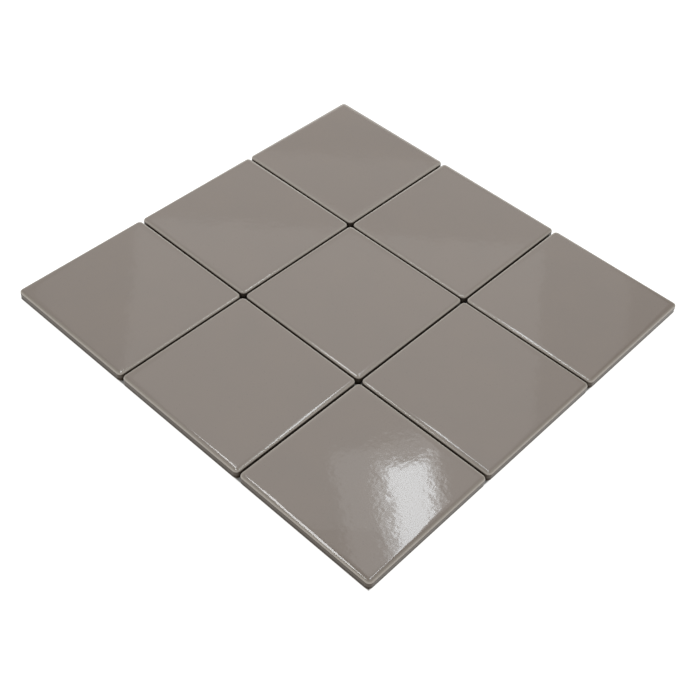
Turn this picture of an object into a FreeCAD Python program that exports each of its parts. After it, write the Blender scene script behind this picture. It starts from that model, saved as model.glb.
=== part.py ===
import FreeCAD, Part
import Sketcher
import os

# Sheet of square glazed ceramic mosaic tiles, laid face up on a backing mesh of flat glass yarns.
# The sheet is centred on the origin and lies on the XY plane, and the glazed faces look along +Z.
# Columns run along +X and rows along +Y, both counted from 1. All sizes are in millimetres.

SIZES = [
    ("tile_side", 98.5, "side of one square tile"),
    ("tile_thickness", 6.5, "from the ribs of the back to the glazed face"),
    ("joint_width", 1.5, "open joint between neighbouring tiles"),
    ("tile_columns", 3, "tiles along X"),
    ("tile_rows", 3, "tiles along Y"),
    ("slope_width", 2.8, "width of the sloping rim of the face, seen from above"),
    ("slope_drop", 0.3, "height of the sloping rim of the face"),
    ("face_corner_radius", 0.2, "rounding of the level face's corners, inside the sloping rim"),
    ("shoulder_radius", 1.1, "turn from the sloping rim into the upright wall"),
    ("back_margin", 6.5, "plain border round the keyed back"),
    ("recess_count", 3, "keying recesses along each side of the back"),
    ("rib_width", 3.0, "rib between two recesses"),
    ("recess_depth", 0.7, "depth of a recess"),
    ("recess_draft", 30.0, "lean of a recess's walls, in degrees"),
    ("mesh_setback", 2.0, "from the sheet's edge in to the mesh's edge"),
    ("yarn_pitch", 5.0, "from one yarn to the next"),
    ("yarn_width", 1.0, "width of a flat yarn"),
    ("yarn_thickness", 0.18, "thickness of a flat yarn"),
]

TILE_PITCH = "(sizes.tile_side + sizes.joint_width)"
RECESS_PITCH = "((sizes.tile_side - 2 * sizes.back_margin + sizes.rib_width) / sizes.recess_count)"
MESH_LENGTH = f"(sizes.tile_columns * {TILE_PITCH} - sizes.joint_width - 2 * sizes.mesh_setback)"
MESH_WIDTH = f"(sizes.tile_rows * {TILE_PITCH} - sizes.joint_width - 2 * sizes.mesh_setback)"

NEARLY = 0.001

doc = FreeCAD.newDocument("mosaic_tile_sheet")


# Driving sizes


def fill_sizes():
    table = doc.addObject("Spreadsheet::Sheet", "sizes")
    for line, (alias, value, meaning) in enumerate(SIZES, start=1):
        table.set(f"A{line}", meaning)
        table.set(f"B{line}", str(value))
        table.setAlias(f"B{line}", alias)
    doc.recompute()
    return table


sizes = fill_sizes()


# Bodies, sketches and edges


def new_body(label):
    body = doc.addObject("PartDesign::Body", label)
    body.Label = label
    return body


def add_feature(body, kind, name, **values):
    """A feature at the body's tip: text values are expressions, all others are set as they are."""
    feature = body.newObject(kind, name)
    for key, value in values.items():
        if isinstance(value, str):
            feature.setExpression(key, value)
        else:
            setattr(feature, key, value)
    doc.recompute()
    return feature


def rectangle_sketch(body, name, left, front, length, width):
    """A rectangle on the body's XY plane; left and front place its corner, measured from the origin."""
    sketch = body.newObject("Sketcher::SketchObject", name)
    plane = next(item for item in body.Origin.OriginFeatures if item.Role == "XY_Plane")
    sketch.AttachmentSupport = [(plane, "")]
    sketch.MapMode = "FlatFace"
    corners = [FreeCAD.Vector(x, y, 0) for x, y in ((-2, -2), (-1, -2), (-1, -1), (-2, -1))]
    for start, end in zip(corners, corners[1:] + corners[:1]):
        sketch.addGeometry(Part.LineSegment(start, end), False)
    for side in range(4):
        sketch.addConstraint(Sketcher.Constraint("Coincident", side, 2, (side + 1) % 4, 1))
    for side in (0, 2):
        sketch.addConstraint(Sketcher.Constraint("Horizontal", side))
    for side in (1, 3):
        sketch.addConstraint(Sketcher.Constraint("Vertical", side))
    origin, first, second = (-1, 1), (0, 1), (0, 2)
    opposite = (1, 2)
    drawn = [
        ("DistanceX", first, origin, left),
        ("DistanceY", first, origin, front),
        ("DistanceX", first, second, length),
        ("DistanceY", second, opposite, width),
    ]
    for kind, start, end, expression in drawn:
        number = sketch.addConstraint(Sketcher.Constraint(kind, *start, *end, 1.0))
        sketch.setExpression(f"Constraints[{number}]", expression)
    doc.recompute()
    return sketch


def edge_names(feature, chosen):
    return [f"Edge{number}" for number, edge in enumerate(feature.Shape.Edges, start=1) if chosen(edge)]


def upright(edge):
    return abs(edge.BoundBox.ZLength - sizes.tile_thickness) < NEARLY


def level_at(height):
    return lambda edge: edge.BoundBox.ZLength < NEARLY and abs(edge.BoundBox.ZMin - height) < NEARLY


def row_of_copies(body, name, original, **values):
    pattern = add_feature(body, "PartDesign::LinearPattern", name, Originals=[original], **values)
    body.Tip = pattern
    doc.recompute()
    return pattern


# Glazed tile: pressed square with a soft sloping rim and a keyed back


def pressed_blank(body):
    half = "sizes.tile_side / 2"
    outline = rectangle_sketch(body, "tile_outline", half, half, "sizes.tile_side", "sizes.tile_side")
    blank = add_feature(body, "PartDesign::Pad", "blank", Profile=outline, Length="sizes.tile_thickness")
    return add_feature(
        body, "PartDesign::Fillet", "rounded_corners",
        Base=(blank, edge_names(blank, upright)), Radius="sizes.slope_width + sizes.face_corner_radius",
    )


def soft_rim(body, blank):
    """The face falls away in a gentle slope, where the glaze thins, and turns softly into the wall."""
    top = sizes.tile_thickness
    slope = add_feature(
        body, "PartDesign::Chamfer", "sloping_rim",
        Base=(blank, edge_names(blank, level_at(top))), ChamferType=1,
        Size="sizes.slope_drop", Size2="sizes.slope_width",
    )
    return add_feature(
        body, "PartDesign::Fillet", "shoulder",
        Base=(slope, edge_names(slope, level_at(top - sizes.slope_drop))),
        Radius="sizes.shoulder_radius",
    )


def keyed_back(body, blank):
    """Shallow square recesses with leaning walls, in rows and columns between ribs."""
    edge = "sizes.tile_side / 2 - sizes.back_margin"
    side = f"{RECESS_PITCH} - sizes.rib_width"
    outline = rectangle_sketch(body, "recess_outline", edge, edge, side, side)
    recess = add_feature(
        body, "PartDesign::Pocket", "recess", Profile=outline, Reversed=True,
        Length="sizes.recess_depth", TaperAngle="-sizes.recess_draft",
    )
    span = f"{RECESS_PITCH} * (sizes.recess_count - 1)"
    pattern = row_of_copies(
        body, "recesses", recess, Direction=(outline, ["H_Axis"]), Direction2=(outline, ["V_Axis"]),
        Length=span, Length2=span, Occurrences="sizes.recess_count", Occurrences2="sizes.recess_count",
    )
    floors = [face for face in pattern.Shape.Faces if abs(face.CenterOfMass.z - sizes.recess_depth) < NEARLY]
    if len(floors) != int(sizes.recess_count) ** 2 or pattern.Shape.Volume >= blank.Shape.Volume:
        raise RuntimeError("the recesses of the back are not all cut")


def first_tile(label):
    body = new_body(label)
    blank = pressed_blank(body)
    blank = soft_rim(body, blank)
    keyed_back(body, blank)
    return body


def like_tile(label, model):
    body = new_body(label)
    add_feature(body, "PartDesign::FeatureBase", f"{label}_pressing", BaseFeature=model)
    return body


def lay_tile(body, row, column):
    body.setExpression("Placement.Base.x", f"({column} - (sizes.tile_columns + 1) / 2) * {TILE_PITCH}")
    body.setExpression("Placement.Base.y", f"({row} - (sizes.tile_rows + 1) / 2) * {TILE_PITCH}")
    body.setExpression("Placement.Base.z", "2 * sizes.yarn_thickness")


def make_tiles():
    tiles = []
    for row in range(1, int(sizes.tile_rows) + 1):
        for column in range(1, int(sizes.tile_columns) + 1):
            label = f"tile_row{row}_column{column}"
            tile = like_tile(label, tiles[0]) if tiles else first_tile(label)
            lay_tile(tile, row, column)
            tiles.append(tile)
    return tiles


# Backing mesh: two layers of flat yarns that cross, the upper one against the backs of the tiles


def make_yarns(label, run, spread, run_axis, layer):
    """Yarns along one axis, one of them through the middle; run and spread are the mesh's two sides."""
    body = new_body(label)
    steps = f"floor(({spread} - sizes.yarn_width) / 2 / sizes.yarn_pitch)"
    half_run = f"{run} / 2"
    first = f"{steps} * sizes.yarn_pitch + sizes.yarn_width / 2"
    if run_axis == "X":
        outline = rectangle_sketch(body, f"{label}_outline", half_run, first, run, "sizes.yarn_width")
        spread_axis = "V_Axis"
    else:
        outline = rectangle_sketch(body, f"{label}_outline", first, half_run, "sizes.yarn_width", run)
        spread_axis = "H_Axis"
    yarn = add_feature(
        body, "PartDesign::Pad", f"{label}_first", Profile=outline, Length="sizes.yarn_thickness"
    )
    row_of_copies(
        body, f"{label}_row", yarn, Direction=(outline, [spread_axis]),
        Length=f"2 * {steps} * sizes.yarn_pitch", Occurrences=f"2 * {steps} + 1",
    )
    body.setExpression("Placement.Base.z", f"{layer} * sizes.yarn_thickness")
    return body


def make_mesh():
    return [
        make_yarns("mesh_yarns_lengthwise", MESH_LENGTH, MESH_WIDTH, "X", layer=0),
        make_yarns("mesh_yarns_crosswise", MESH_WIDTH, MESH_LENGTH, "Y", layer=1),
    ]


# Sheet


def check(pieces):
    for item in doc.Objects:
        if {"Invalid", "Error"} & set(item.State):
            raise RuntimeError(f"{item.Label} failed: {item.State}")
    for piece in pieces:
        if piece.Shape.isNull() or not piece.Shape.isValid():
            raise RuntimeError(f"{piece.Label} has no valid shape")


def write(pieces):
    os.makedirs("parts", exist_ok=True)
    for piece in pieces:
        piece.Shape.exportStep(f"parts/{piece.Label}.step")
        print(piece.Label, len(piece.Shape.Solids), "solids,", round(piece.Shape.Volume, 1), "mm3")


pieces = make_tiles() + make_mesh()
doc.recompute()
check(pieces)
write(pieces)
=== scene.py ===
import math

import bpy
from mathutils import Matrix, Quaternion, Vector, noise


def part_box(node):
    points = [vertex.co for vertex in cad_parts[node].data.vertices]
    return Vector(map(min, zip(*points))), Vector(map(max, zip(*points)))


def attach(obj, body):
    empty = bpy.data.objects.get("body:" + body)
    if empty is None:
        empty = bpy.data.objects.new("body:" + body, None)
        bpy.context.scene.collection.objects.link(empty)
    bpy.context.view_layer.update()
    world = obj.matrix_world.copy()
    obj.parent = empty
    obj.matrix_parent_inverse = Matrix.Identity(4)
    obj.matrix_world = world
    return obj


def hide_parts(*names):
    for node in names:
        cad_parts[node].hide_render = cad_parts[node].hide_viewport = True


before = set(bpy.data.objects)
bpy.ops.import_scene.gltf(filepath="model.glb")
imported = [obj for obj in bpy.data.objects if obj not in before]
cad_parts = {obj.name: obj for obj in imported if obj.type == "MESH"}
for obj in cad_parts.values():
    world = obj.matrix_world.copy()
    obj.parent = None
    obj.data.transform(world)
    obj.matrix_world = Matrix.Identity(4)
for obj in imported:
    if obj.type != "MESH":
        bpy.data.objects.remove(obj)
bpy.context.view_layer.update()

# sizes in the dictionaries are in millimetres and angles in degrees, unless a note says otherwise
mm = 0.001
nearly = 0.01       # two places closer than this are the same
squareOn = 0.9      # a face looks along an axis if its normal has at least this much of it


# small helpers for modelling by hand

def startFresh():
    # nothing is selected, so an operator touches only the new piece
    if bpy.context.object and bpy.context.object.mode != "OBJECT":
        bpy.ops.object.mode_set(mode="OBJECT")
    bpy.ops.object.select_all(action="DESELECT")


def choose(piece):
    startFresh()
    piece.select_set(True)
    bpy.context.view_layer.objects.active = piece


def newBox(name, size, middle):
    startFresh()
    bpy.ops.mesh.primitive_cube_add(size=1, location=Vector(middle) * mm, scale=Vector(size) * mm)
    box = bpy.context.object
    box.name = box.data.name = name
    bpy.ops.object.transform_apply(location=True, rotation=True, scale=True)
    return box


def pick(piece, kind, test):
    # leaves only the vertices, edges or faces selected that pass the test, and stays in edit mode
    bpy.ops.object.mode_set(mode="EDIT")
    bpy.ops.mesh.select_mode(type=kind)
    bpy.ops.mesh.select_all(action="DESELECT")
    bpy.ops.object.mode_set(mode="OBJECT")
    shape = piece.data
    for item in {"VERT": shape.vertices, "EDGE": shape.edges, "FACE": shape.polygons}[kind]:
        item.select = test(item)
    bpy.ops.object.mode_set(mode="EDIT")


def endsOf(piece, edge):
    return [piece.data.vertices[number].co / mm for number in edge.vertices]


def runsAlong(piece, edge, axis):
    start, end = endsOf(piece, edge)
    number = "XYZ".index(axis)
    return abs(start[number] - end[number]) > nearly


def cutAcross(piece, test, axis, places):
    # cuts the chosen faces at each place along the axis
    direction = Vector((axis == "X", axis == "Y", axis == "Z"))
    for place in places:
        pick(piece, "FACE", test)
        bpy.ops.mesh.bisect(plane_co=direction * place * mm, plane_no=direction)


def applyAll(piece):
    choose(piece)
    for modifier in list(piece.modifiers):
        bpy.ops.object.modifier_apply(modifier=modifier.name)


# shader nodes, and the patterns that several materials share; a pattern's scale is per metre

def newMaterial(name):
    material = bpy.data.materials.new(name)
    material.use_nodes = True
    return material, material.node_tree, material.node_tree.nodes["Principled BSDF"]


def setInputs(node, values):
    for key, value in values.items():
        node.inputs[key].default_value = value


def addNode(tree, kind, **settings):
    node = tree.nodes.new(kind)
    for key, value in settings.items():
        if key in node.inputs:
            node.inputs[key].default_value = value
        else:
            setattr(node, key, value)
    return node


def addMath(tree, operation, *values):
    # each value is a number or a socket
    node = addNode(tree, "ShaderNodeMath", operation=operation)
    for socket, value in zip(node.inputs, values):
        if isinstance(value, bpy.types.NodeSocket):
            tree.links.new(value, socket)
        else:
            socket.default_value = value
    return node.outputs[0]


def joinUp(tree, pairs):
    for start, end in pairs:
        tree.links.new(start, end)


def newGroup(name, inputs, outputs):
    group = bpy.data.node_groups.new(name, "ShaderNodeTree")
    group.interface.new_socket("Vector", in_out="INPUT", socket_type="NodeSocketVector")
    for title, value in inputs.items():
        socket = group.interface.new_socket(title, in_out="INPUT", socket_type="NodeSocketFloat")
        socket.default_value = value
    for title in outputs:
        group.interface.new_socket(title, in_out="OUTPUT", socket_type="NodeSocketFloat")
    return group, group.nodes.new("NodeGroupInput"), group.nodes.new("NodeGroupOutput")


clouding = {
    "contrast": (0.3, 0.7),   # noise where the mask reaches 0 and 1
    "finer": 7.3,             # how much finer the grain is than the clouds
}


def makeMottle():
    # soft clouds of tone: Mask runs from 0 to 1, Height follows it with a finer grain on top
    group, into, out = newGroup(
        "mottle", {"Scale": 40.0, "Detail": 2.0, "Grain": 0.2}, ("Mask", "Height"),
    )
    start, end = clouding["contrast"]
    cloud = addNode(group, "ShaderNodeTexNoise", Roughness=0.5)
    mask = addNode(group, "ShaderNodeMapRange", **{"From Min": start, "From Max": end})
    grain = addNode(group, "ShaderNodeTexNoise", Detail=1.0)
    finer = addMath(group, "MULTIPLY", into.outputs["Scale"], clouding["finer"])
    faint = addMath(group, "MULTIPLY", grain.outputs["Fac"], into.outputs["Grain"])
    total = addMath(group, "ADD", cloud.outputs["Fac"], faint)
    joinUp(group, [
        (into.outputs["Vector"], cloud.inputs["Vector"]), (into.outputs["Scale"], cloud.inputs["Scale"]),
        (into.outputs["Detail"], cloud.inputs["Detail"]), (cloud.outputs["Fac"], mask.inputs["Value"]),
        (into.outputs["Vector"], grain.inputs["Vector"]), (finer, grain.inputs["Scale"]),
        (mask.outputs[0], out.inputs["Mask"]), (total, out.inputs["Height"]),
    ])
    return group


dotting = {"rim": 0.34, "core": 0.22}     # from a dot's middle, as a share of its cell


def makeSpecks():
    # scattered small dots: Mask is 1 on a dot and 0 between them, Share is the part of cells with one
    group, into, out = newGroup("specks", {"Scale": 500.0, "Share": 0.1}, ("Mask",))
    cells = addNode(group, "ShaderNodeTexVoronoi", feature="F1")
    lot = addNode(group, "ShaderNodeSeparateColor")
    dot = addNode(
        group, "ShaderNodeMapRange", **{"From Min": dotting["rim"], "From Max": dotting["core"]}
    )
    chosen = addMath(group, "LESS_THAN", lot.outputs[0], into.outputs["Share"])
    mask = addMath(group, "MULTIPLY", dot.outputs[0], chosen)
    joinUp(group, [
        (into.outputs["Vector"], cells.inputs["Vector"]), (into.outputs["Scale"], cells.inputs["Scale"]),
        (cells.outputs["Color"], lot.inputs[0]), (cells.outputs["Distance"], dot.inputs["Value"]),
        (mask, out.inputs["Mask"]),
    ])
    return group


mottle = makeMottle()
specks = makeSpecks()


def useGroup(tree, group, vector, **values):
    node = tree.nodes.new("ShaderNodeGroup")
    node.node_tree = group
    setInputs(node, values)
    tree.links.new(vector, node.inputs["Vector"])
    return node


def objectPlace(tree):
    return addNode(tree, "ShaderNodeTexCoord").outputs["Object"]


def splitUp(tree, vector):
    node = addNode(tree, "ShaderNodeSeparateXYZ")
    tree.links.new(vector, node.inputs[0])
    return node.outputs


def blend(tree, mask, first, second, way="MIX"):
    # first where the mask is 0 and second where it is 1; each is a colour or a socket
    node = addNode(tree, "ShaderNodeMix", data_type="RGBA", blend_type=way)
    factor, colours, result = node.inputs[0], (node.inputs[6], node.inputs[7]), node.outputs[2]
    tree.links.new(mask, factor)
    for socket, colour in zip(colours, (first, second)):
        if isinstance(colour, bpy.types.NodeSocket):
            tree.links.new(colour, socket)
        else:
            socket.default_value = (*colour, 1)
    return result


def between(tree, value, start, end, low=0.0, high=1.0):
    # runs from low at start to high at end
    node = addNode(tree, "ShaderNodeMapRange", interpolation_type="SMOOTHSTEP")
    setInputs(node, {"From Min": start, "From Max": end, "To Min": low, "To Max": high})
    tree.links.new(value, node.inputs["Value"])
    return node.outputs[0]


def bumpOn(tree, height, depth, under=None):
    node = addNode(tree, "ShaderNodeBump", Distance=depth * mm)
    tree.links.new(height, node.inputs["Height"])
    if under:
        tree.links.new(under, node.inputs["Normal"])
    return node.outputs["Normal"]


# glaze and fired body

low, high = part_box("tile_row1_column1")
tileSide = round((high.x - low.x) / mm, 3)
tileThickness = round((high.z - low.z) / mm, 3)
backLevel = round(low.z / mm, 3)
faceLevel = round(high.z / mm, 3)

glaze = {
    "face": (0.212, 0.177, 0.151),
    "faceWarm": (0.219, 0.181, 0.153),
    "rim": (0.28, 0.25, 0.212),
    "arrisThinGlazeAndHighlight": (0.44, 0.4, 0.355),       # the pale body shows where the glaze is drawn thin, lightened further as a painted highlight along the shoulder
    # painted shade: the wall below the rim is coloured darker than the face's glaze
    "paintedWallShade": (0.091, 0.073, 0.057),
    # painted shade: the foot of the wall is darkened as a contact shadow along the back
    "paintedFootShade": (0.043, 0.031, 0.022),
    "speck": (0.19, 0.159, 0.139),
    # depth below the face where a colour starts and where it is full
    "depths": {"rim": (0.1, 0.24), "arrisThinGlazeAndHighlight": (0.24, 0.38), "paintedWallShade": (0.85, 1.4)},
    "footHeights": (3.2, 1.8),         # the same above the back, for the painted shade at the foot
    "cloudScale": 38.0, "speckScale": 900.0, "speckShare": 0.03,
    "firingLift": 1.03,   # brightness of the lightest tile against the plainest
    "gloss": 0.05,        # roughness of the clear top of the glaze
    "underGloss": 0.3,    # roughness below it, for the soft haze round a reflection
    "underShine": 0.05,   # specular level of the coloured layer below the clear top
    "index": 1.5,
    "starved": (1.4, 0.7),             # depth where the clear top is thinnest and where it is full
    "wallCoat": 0.2, "footCoat": 0.1,  # clear top left on the wall, and what is left of that on the foot
    "rippleDepth": 0.08, "rippleSize": 22.0, "rippleDetail": 2.5, "rippleGrain": 0.2,
    "peelDepth": 0.0045, "peelSize": 2.2,
}


def makeGlaze():
    material, tree, shader = newMaterial("taupeGlaze")
    place = objectPlace(tree)
    height = splitUp(tree, place)["Z"]

    def fromFace(start, end, *ends):
        return between(tree, height, (faceLevel - start) * mm, (faceLevel - end) * mm, *ends)

    clouds = useGroup(tree, mottle, place, Scale=glaze["cloudScale"], Detail=2.0, Grain=0.1)
    dots = useGroup(tree, specks, place, Scale=glaze["speckScale"], Share=glaze["speckShare"])
    firing = addNode(tree, "ShaderNodeAttribute", attribute_name="firing")
    warm = blend(tree, clouds.outputs["Mask"], glaze["face"], glaze["faceWarm"])
    toned = blend(tree, firing.outputs["Fac"], warm, [glaze["firingLift"]] * 3, way="MULTIPLY")
    shade = blend(tree, dots.outputs["Mask"], toned, glaze["speck"])
    # the wall's colour here is painted shade, and the arris ring is partly a painted highlight
    for key, (start, end) in glaze["depths"].items():
        shade = blend(tree, fromFace(start, end), shade, glaze[key])
    # painted shade: darker towards the bottom of the wall, standing in for the contact shadow along the
    # back
    start, end = glaze["footHeights"]
    onFoot = between(tree, height, (backLevel + start) * mm, (backLevel + end) * mm)
    shade = blend(tree, onFoot, shade, glaze["paintedFootShade"])
    tree.links.new(shade, shader.inputs["Base Color"])

    # the glaze is full on the face and starved down the wall
    full = fromFace(*glaze["starved"], glaze["wallCoat"], 1.0)
    bare = between(tree, onFoot, 0.0, 1.0, 1.0, glaze["footCoat"])
    tree.links.new(addMath(tree, "MULTIPLY", full, bare), shader.inputs["Coat Weight"])
    setInputs(shader, {
        "Roughness": glaze["underGloss"], "IOR": glaze["index"], "Specular IOR Level": glaze["underShine"],
        "Coat Roughness": glaze["gloss"], "Coat IOR": glaze["index"],
    })

    ripple = useGroup(tree, mottle, place, Scale=1 / (glaze["rippleSize"] * mm),
                      Detail=glaze["rippleDetail"], Grain=glaze["rippleGrain"])
    peel = useGroup(tree, mottle, place, Scale=1 / (glaze["peelSize"] * mm), Detail=1.0, Grain=0.0)
    flowing = bumpOn(tree, ripple.outputs["Height"], glaze["rippleDepth"])
    peeled = bumpOn(tree, peel.outputs["Height"], glaze["peelDepth"], under=flowing)
    tree.links.new(peeled, shader.inputs["Normal"])
    tree.links.new(peeled, shader.inputs["Coat Normal"])
    return material


biscuit = {
    "body": (0.47, 0.43, 0.37),
    "bodyDark": (0.38, 0.345, 0.29),
    "speck": (0.22, 0.19, 0.15),
    "cloudScale": 120.0, "cloudDetail": 4.0, "grain": 0.5, "grainDepth": 0.03,
    "speckScale": 1100.0, "speckShare": 0.12,
    "roughness": (0.75, 0.9),     # of the pale and the dark clouds
}


def makeBiscuit():
    material, tree, shader = newMaterial("pressedBody")
    place = objectPlace(tree)
    clouds = useGroup(tree, mottle, place, Scale=biscuit["cloudScale"], Detail=biscuit["cloudDetail"],
                      Grain=biscuit["grain"])
    dots = useGroup(tree, specks, place, Scale=biscuit["speckScale"], Share=biscuit["speckShare"])
    toned = blend(tree, clouds.outputs["Mask"], biscuit["body"], biscuit["bodyDark"])
    spotted = blend(tree, dots.outputs["Mask"], toned, biscuit["speck"])
    matt = between(tree, clouds.outputs["Mask"], 0, 1, *biscuit["roughness"])
    grainy = bumpOn(tree, clouds.outputs["Height"], biscuit["grainDepth"])
    joinUp(tree, [
        (spotted, shader.inputs["Base Color"]), (matt, shader.inputs["Roughness"]),
        (grainy, shader.inputs["Normal"]),
    ])
    return material


# glazed tile: pressed square with a soft sloping rim and a keyed back

tile = {
    "cornerRadius": 3.0, "cornerSteps": 10,
    "slopeWidth": 2.7, "slopeDrop": 0.38,
    "shoulderRadius": 1.1, "shoulderSteps": 10,
    "blendRadius": 20.0, "blendSteps": 8,
    "flatRing": 0.4,          # keeps the face's shading flat inside the rim
    "mitreFrom": 0.5,         # corner radius below which the rings of the rim turn square
    "backBevel": 0.4,
    "backMargin": 6.5, "recessCount": 3, "ribWidth": 3.0,
    "recessDepth": 0.7, "recessDraft": 30.0,
    "softEdge": 0.12, "softEdgeSteps": 2, "softEdgeFrom": 25.0,
    "smoothBelow": 30.0,
    "bareFrom": 0.3,          # how far down a face looks, as part of its normal, to be left unglazed
}


def rimProfile():
    # (distance in from the wall, depth below the face) from the top of the wall to the flat face
    slope = math.atan2(tile["slopeDrop"], tile["slopeWidth"])
    turn = math.pi / 2 - slope
    shoulder, crown = tile["shoulderRadius"], tile["blendRadius"]
    wallTop = tile["slopeDrop"] + shoulder * math.tan(turn / 2)
    faceEdge = tile["slopeWidth"] + crown * math.tan(slope / 2)
    points = []
    for step in range(tile["shoulderSteps"] + 1):
        angle = turn * step / tile["shoulderSteps"]
        points.append((shoulder * (1 - math.cos(angle)), wallTop - shoulder * math.sin(angle)))
    for step in range(tile["blendSteps"] + 1):
        angle = slope * (1 - step / tile["blendSteps"])
        points.append((faceEdge - crown * math.sin(angle), crown * (1 - math.cos(angle))))
    points.append((faceEdge + tile["flatRing"], 0.0))
    return points


def raiseRim(piece, profile):
    # the top is drawn inwards and up, ring by ring, until it is level with the face
    pick(piece, "FACE", lambda face: face.normal.z > squareOn)
    for (outer, deeper), (inner, higher) in zip(profile, profile[1:]):
        bpy.ops.mesh.inset(thickness=(inner - outer) * mm, depth=(deeper - higher) * mm)
        left = tile["cornerRadius"] - inner
        if 0 < left < tile["mitreFrom"]:
            # the last of each rounded corner is drawn to a point, so the rings inside it stay square
            bpy.ops.mesh.remove_doubles(threshold=2 * tile["mitreFrom"] * mm)


def pressBack(piece):
    # square recesses with leaning walls, in rows and columns between ribs
    edge = tileSide / 2 - tile["backMargin"]
    pitch = (2 * edge + tile["ribWidth"]) / tile["recessCount"]
    recess = pitch - tile["ribWidth"]
    starts = [pitch * number - edge for number in range(tile["recessCount"])]
    cuts = [place for start in starts for place in (start, start + recess)]

    def isBack(face):
        return face.normal.z < -squareOn and face.center.z < nearly * mm

    def inCell(place):
        return any(start < place / mm < start + recess for start in starts)

    cutAcross(piece, isBack, "X", cuts)
    cutAcross(piece, isBack, "Y", cuts)
    pick(piece, "FACE", lambda face: isBack(face) and inCell(face.center.x) and inCell(face.center.y))
    draft = tile["recessDepth"] * math.tan(math.radians(tile["recessDraft"]))
    bpy.ops.mesh.inset(thickness=draft * mm, depth=-tile["recessDepth"] * mm, use_individual=True)
    bpy.ops.object.mode_set(mode="OBJECT")


def softenEdges(piece):
    edges = piece.modifiers.new("softEdges", "BEVEL")
    edges.width = tile["softEdge"] * mm
    edges.segments = tile["softEdgeSteps"]
    edges.limit_method = "ANGLE"
    edges.angle_limit = math.radians(tile["softEdgeFrom"])
    applyAll(piece)
    bpy.ops.object.shade_smooth_by_angle(angle=math.radians(tile["smoothBelow"]))


def makeTile():
    profile = rimProfile()
    wallTop = tileThickness - profile[0][1]
    piece = newBox("tileModel", (tileSide, tileSide, wallTop), (0, 0, wallTop / 2))
    pick(piece, "EDGE", lambda edge: runsAlong(piece, edge, "Z"))
    bpy.ops.mesh.bevel(offset=tile["cornerRadius"] * mm, segments=tile["cornerSteps"], affect="EDGES")
    raiseRim(piece, profile)
    pick(piece, "EDGE", lambda edge: max(end.z for end in endsOf(piece, edge)) < nearly)
    bpy.ops.mesh.bevel(offset=tile["backBevel"] * mm, segments=1, affect="EDGES")
    pressBack(piece)
    softenEdges(piece)
    for material in (makeGlaze(), makeBiscuit()):
        piece.data.materials.append(material)
    for face in piece.data.polygons:
        face.material_index = int(face.normal.z < -tile["bareFrom"])
    return piece


def layTile(model, node, name, firing):
    # a copy with its own mesh, moved to where the CAD node lies
    corner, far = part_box(node)
    choose(model)
    bpy.ops.object.duplicate(linked=False)
    piece = bpy.context.object
    piece.name = piece.data.name = name
    bpy.ops.transform.translate(value=((corner.x + far.x) / 2, (corner.y + far.y) / 2, corner.z))
    bpy.ops.object.transform_apply(location=True, rotation=True, scale=True)
    tone = piece.data.attributes.new("firing", "FLOAT", "POINT")
    tone.data.foreach_set("value", [firing] * len(piece.data.vertices))
    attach(piece, "root")
    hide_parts(node)


# tone of each tile out of the kiln, row by row: 0 is the plain glaze and 1 a shade lighter
firings = {
    "row1": (0.5, 0.35, 0.2),
    "row2": (0.4, 0.6, 0.45),
    "row3": (0.15, 0.5, 0.7),
}

tileModel = makeTile()
for row, tones in firings.items():
    for column, firing in enumerate(tones, start=1):
        layTile(tileModel, f"tile_{row}_column{column}", f"glazedTile_{row}_column{column}", firing)
bpy.data.objects.remove(tileModel)
print("tiles laid")


# backing mesh: flat weft yarns, and pairs of warp threads that twist round them

mesh = {
    "pitch": 5.0,
    "weftWidth": 1.0, "weftThickness": 0.12,
    "weftBevel": 0.45,        # bevel of a weft yarn's edges, as a share of its thickness
    "threadWidth": 0.34, "threadThickness": 0.12,
    "threadSpread": 0.24,     # sideways, of each thread from the middle of the pair
    "flatRun": 1.7,           # length of a thread that lies flat over or under a weft yarn
    "flatSpread": 0.45,       # share of the spread that is left where the flat run starts and ends
    "wander": 0.12,           # how far yarns stray from straight
    "wanderLength": 23.0, "laneShift": 3.7, "wanderSeed": 0.5,
    "weldWithin": 0.002,
    "smoothBelow": 50.0,
}

meshHalf = round(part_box("mesh_yarns_lengthwise")[1].x / mm, 3)
meshThickness = round(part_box("mesh_yarns_crosswise")[1].z / mm, 3)
yarnSteps = int((meshHalf - mesh["weftWidth"] / 2) / mesh["pitch"])
firstYarn = -yarnSteps * mesh["pitch"]      # along X and along Y


def repeat(piece, axis):
    array = piece.modifiers.new("repeat" + axis, "ARRAY")
    array.count = 2 * yarnSteps + 1
    array.use_relative_offset = False
    array.use_constant_offset = True
    array.constant_offset_displace = [mesh["pitch"] * mm * (axis == letter) for letter in "XYZ"]
    array.use_merge_vertices = True
    array.merge_threshold = mesh["weldWithin"] * mm


def growEnds(piece):
    # the open ends of the weft reach to the mesh's edge and are closed there
    reach = (yarnSteps + 0.5) * mesh["pitch"]
    for side in (-1, 1):
        pick(piece, "VERT", lambda vertex: vertex.co.x / mm * side > reach - nearly)
        bpy.ops.transform.translate(value=(side * (meshHalf - reach) * mm, 0, 0))
        bpy.ops.mesh.select_mode(type="EDGE")
        bpy.ops.mesh.edge_face_add()
        bpy.ops.object.mode_set(mode="OBJECT")


def trimEnds(piece):
    # the warp is cut off at the mesh's edge, and the cuts are closed
    for side in (-1, 1):
        direction = Vector((0, side, 0))
        choose(piece)
        bpy.ops.object.mode_set(mode="EDIT")
        bpy.ops.mesh.select_all(action="SELECT")
        bpy.ops.mesh.bisect(
            plane_co=direction * meshHalf * mm, plane_no=direction, use_fill=True, clear_outer=True,
        )
    bpy.ops.object.mode_set(mode="OBJECT")


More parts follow.
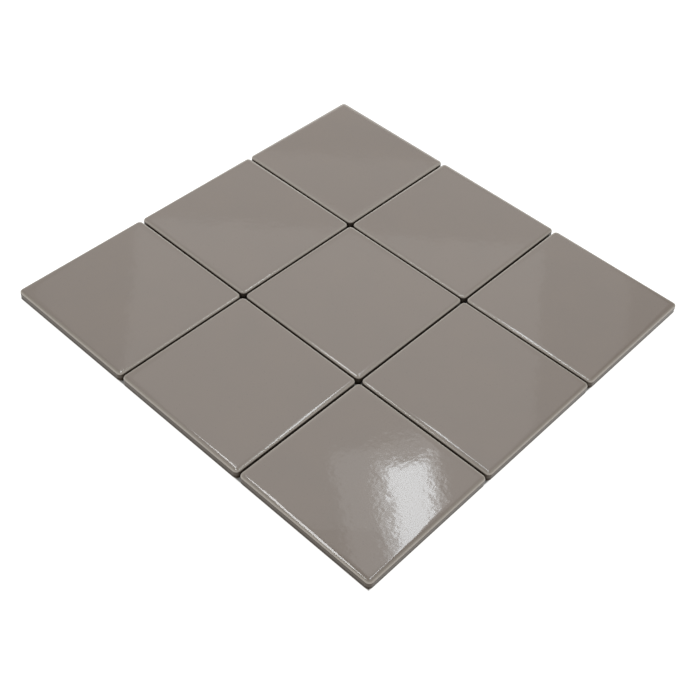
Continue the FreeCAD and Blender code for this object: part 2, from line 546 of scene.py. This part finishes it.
def strayABit(piece, along):
    # the yarns wander sideways in slow curves, as they do once the mesh is glued down
    for vertex in piece.data.vertices:
        x, y, z = vertex.co / mm
        far, lane = (x, y) if along == "X" else (y, x)
        lane = round(lane / mesh["pitch"])
        spot = (far / mesh["wanderLength"], lane * mesh["laneShift"], mesh["wanderSeed"])
        stray = noise.noise(spot) * mesh["wander"] * mm
        if along == "X":
            vertex.co.y += stray
        else:
            vertex.co.x += stray


def makeWeft():
    piece = newBox(
        "weftYarns", (mesh["pitch"], mesh["weftWidth"], mesh["weftThickness"]),
        (firstYarn, firstYarn, meshThickness / 2),
    )
    # the section becomes a flat lens
    pick(piece, "EDGE", lambda edge: runsAlong(piece, edge, "X"))
    bevel = mesh["weftThickness"] * mesh["weftBevel"]
    bpy.ops.mesh.bevel(offset=bevel * mm, segments=1, affect="EDGES")
    pick(piece, "FACE", lambda face: abs(face.normal.x) > squareOn)
    bpy.ops.mesh.delete(type="FACE")
    bpy.ops.object.mode_set(mode="OBJECT")
    repeat(piece, "X")
    repeat(piece, "Y")
    applyAll(piece)
    growEnds(piece)
    strayABit(piece, "X")
    return piece


def makeThread(name, side):
    # one thread of a pair over one pitch: it starts at that side, passes the weft, and ends across
    pitch, flat, left = mesh["pitch"], mesh["flatRun"] / 2, mesh["flatSpread"]
    piece = newBox(
        name, (mesh["threadWidth"], pitch, mesh["threadThickness"]),
        (firstYarn, firstYarn, meshThickness / 2),
    )
    cutAcross(piece, lambda face: True, "Y", [firstYarn - flat, firstYarn + flat])
    lift = (meshThickness - mesh["threadThickness"]) / 2
    for start, along in ((-pitch / 2, 1.0), (-flat, left), (flat, -left), (pitch / 2, -1.0)):
        pick(piece, "VERT", lambda vertex: abs(vertex.co.y / mm - firstYarn - start) < nearly)
        rise = side * lift * (abs(along) < 1)
        bpy.ops.transform.translate(
            value=(side * along * mesh["threadSpread"] * mm, 0, rise * mm)
        )
    pick(piece, "FACE", lambda face: abs(face.normal.y) > squareOn)
    bpy.ops.mesh.delete(type="FACE")
    bpy.ops.object.mode_set(mode="OBJECT")
    return piece


def makeWarp():
    over, under = makeThread("warpThreads", 1), makeThread("warpUnder", -1)
    choose(over)
    under.select_set(True)
    bpy.ops.object.join()
    piece = bpy.context.object
    repeat(piece, "Y")
    repeat(piece, "X")
    applyAll(piece)
    trimEnds(piece)
    strayABit(piece, "Y")
    return piece


yarn = {
    "glass": (0.74, 0.74, 0.71),
    "glassPale": (0.83, 0.83, 0.8),
    "resin": (0.6, 0.59, 0.54),       # stiffens the mesh
    "filamentSize": 0.24, "filamentDetail": 2.0, "filamentGrain": 0.3, "filamentDepth": 0.02,
    "stretch": 0.04,                  # the filaments' pattern is this much slower along a yarn
    "resinScale": 160.0, "resinDetail": 3.0, "resinGrain": 0.2,
    "roughness": (0.5, 0.32),         # of bare glass and of resin
}


def makeYarnMaterial(name, along):
    material, tree, shader = newMaterial(name)
    place = objectPlace(tree)
    stretched = addNode(tree, "ShaderNodeMapping")
    scale = (yarn["stretch"], 1, 1) if along == "X" else (1, yarn["stretch"], 1)
    stretched.inputs["Scale"].default_value = scale
    tree.links.new(place, stretched.inputs["Vector"])
    filaments = useGroup(tree, mottle, stretched.outputs[0], Scale=1 / (yarn["filamentSize"] * mm),
                         Detail=yarn["filamentDetail"], Grain=yarn["filamentGrain"])
    resin = useGroup(tree, mottle, place, Scale=yarn["resinScale"], Detail=yarn["resinDetail"],
                     Grain=yarn["resinGrain"])
    bare = blend(tree, filaments.outputs["Mask"], yarn["glass"], yarn["glassPale"])
    sized = blend(tree, resin.outputs["Mask"], bare, yarn["resin"])
    sheen = between(tree, resin.outputs["Mask"], 0, 1, *yarn["roughness"])
    combed = bumpOn(tree, filaments.outputs["Height"], yarn["filamentDepth"])
    joinUp(tree, [
        (sized, shader.inputs["Base Color"]), (sheen, shader.inputs["Roughness"]),
        (combed, shader.inputs["Normal"]),
    ])
    return material


for piece, node, along in (
    (makeWeft(), "mesh_yarns_lengthwise", "X"), (makeWarp(), "mesh_yarns_crosswise", "Y"),
):
    choose(piece)
    bpy.ops.object.shade_smooth_by_angle(angle=math.radians(mesh["smoothBelow"]))
    piece.data.materials.append(makeYarnMaterial("glassYarn" + along, along))
    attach(piece, "root")
    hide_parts(node)
print("backing mesh laid")


# floor, lights and camera

floor = {
    "side": 6000.0,
    "level": -0.05,
    "colour": (0.5, 0.5, 0.495),
    "colourSoft": (0.48, 0.48, 0.475),
    "cloudScale": 6.0,
    "roughness": 0.9, "shine": 0.2,
    "glow": 0.85,             # the white table is lit from below too
    "glowColour": (1, 1, 0.995),
    "glowEdge": 1.0,          # width over which the glow fades out, just inside the sheet's edge
}


def makeFloor():
    startFresh()
    bpy.ops.mesh.primitive_plane_add(size=floor["side"] * mm, location=(0, 0, floor["level"] * mm))
    piece = bpy.context.object
    piece.name = "studioFloor"
    material, tree, shader = newMaterial("paleFloor")
    place = objectPlace(tree)
    clouds = useGroup(tree, mottle, place, Scale=floor["cloudScale"], Detail=3.0, Grain=0.1)
    shade = blend(tree, clouds.outputs["Mask"], floor["colour"], floor["colourSoft"])
    tree.links.new(shade, shader.inputs["Base Color"])

    # no light comes up under the sheet
    x, y, z = splitUp(tree, place)
    farther = addMath(tree, "MAXIMUM", addMath(tree, "ABSOLUTE", x), addMath(tree, "ABSOLUTE", y))
    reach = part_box("tile_row3_column3")[1].x
    beyond = between(tree, farther, reach - floor["glowEdge"] * mm, reach)
    tree.links.new(blend(tree, beyond, (0, 0, 0), floor["glowColour"]), shader.inputs["Emission Color"])
    setInputs(shader, {
        "Emission Strength": floor["glow"], "Roughness": floor["roughness"],
        "Specular IOR Level": floor["shine"],
    })
    piece.data.materials.append(material)


# each light: place and size in millimetres, brightness as radiance where white is 1
lights = {
    "panel": {
        "place": (980, 960, 1400), "size": (1800, 1600), "turn": 0.0, "brightness": 0.5,
        "colour": (1, 1, 0.99),
    },
    "innerPanel": {
        "place": (880, 760, 1400), "size": (900, 650), "turn": 0.0, "brightness": 0.4,
        "colour": (1, 1, 0.99),
    },
    "midPanel": {
        "place": (900, 780, 1400), "size": (1300, 950), "turn": 0.0, "brightness": 0.3,
        "colour": (1, 1, 0.99),
    },
    "window": {
        "place": (742, 321, 1652), "size": (90, 615), "turn": 28.0, "brightness": 6.5,
        "colour": (0.88, 0.945, 1),
    },
    "windowVeil": {
        "place": (741, 322, 1653), "size": (138, 642), "turn": 28.0, "brightness": 2.3,
        "colour": (0.9, 0.955, 1),
    },
    "windowSurround": {
        "place": (720, 343, 1659), "size": (235, 720), "turn": 28.0, "brightness": 0.85,
        "colour": (0.97, 0.985, 1),
    },
    "sideWindow": {
        "place": (355, 675, 1765), "size": (170, 520), "turn": -16.7, "brightness": 11.0,
        "colour": (0.96, 0.98, 1),
    },
    "backdrop": {
        "place": (2080, 1490, 740), "size": (3000, 1120), "turn": 0.0, "brightness": 1.3,
        "colour": (1, 1, 0.99),
    },
}
room = {"colour": (1.0, 0.99, 0.975), "brightness": 0.6}


def placeFacing(name, data, place, aim, roll):
    # lights and the camera look along their own -Z; roll turns them about that line
    thing = bpy.data.objects.new(name, data)
    facing = (aim - place).to_track_quat("-Z", "Y") @ Quaternion((0, 0, 1), math.radians(roll))
    thing.location = place
    thing.rotation_euler = facing.to_euler()
    bpy.context.scene.collection.objects.link(thing)
    return thing


def makeLights():
    for name, values in lights.items():
        lamp = bpy.data.lights.new(name, "AREA")
        lamp.shape = "RECTANGLE"
        lamp.size, lamp.size_y = (side * mm for side in values["size"])
        lamp.color = values["colour"]
        lamp.energy = values["brightness"] * math.pi * lamp.size * lamp.size_y
        placeFacing(name, lamp, Vector(values["place"]) * mm, Vector((0, 0, 0)), values["turn"])
    world = bpy.data.worlds.new("softRoom")
    world.use_nodes = True
    setInputs(world.node_tree.nodes["Background"], {
        "Color": (*room["colour"], 1), "Strength": room["brightness"],
    })
    bpy.context.scene.world = world
    bpy.context.scene.view_settings.view_transform = "Standard"


view = {
    "place": (-414.7, -337.3, 530.4),
    "aim": (-35.3, -27.45, 6.86),
    "roll": 5.24,
    "lens": 60.57, "sensor": 36.0,
    "clip": (10.0, 50000.0),
}


def makeCamera():
    camera = bpy.data.cameras.new("photoCamera")
    camera.lens, camera.sensor_width = view["lens"], view["sensor"]
    camera.clip_start, camera.clip_end = (distance * mm for distance in view["clip"])
    place, aim = Vector(view["place"]) * mm, Vector(view["aim"]) * mm
    bpy.context.scene.camera = placeFacing("photoCamera", camera, place, aim, view["roll"])


makeFloor()
makeLights()
makeCamera()
print("floor, lights and camera set")
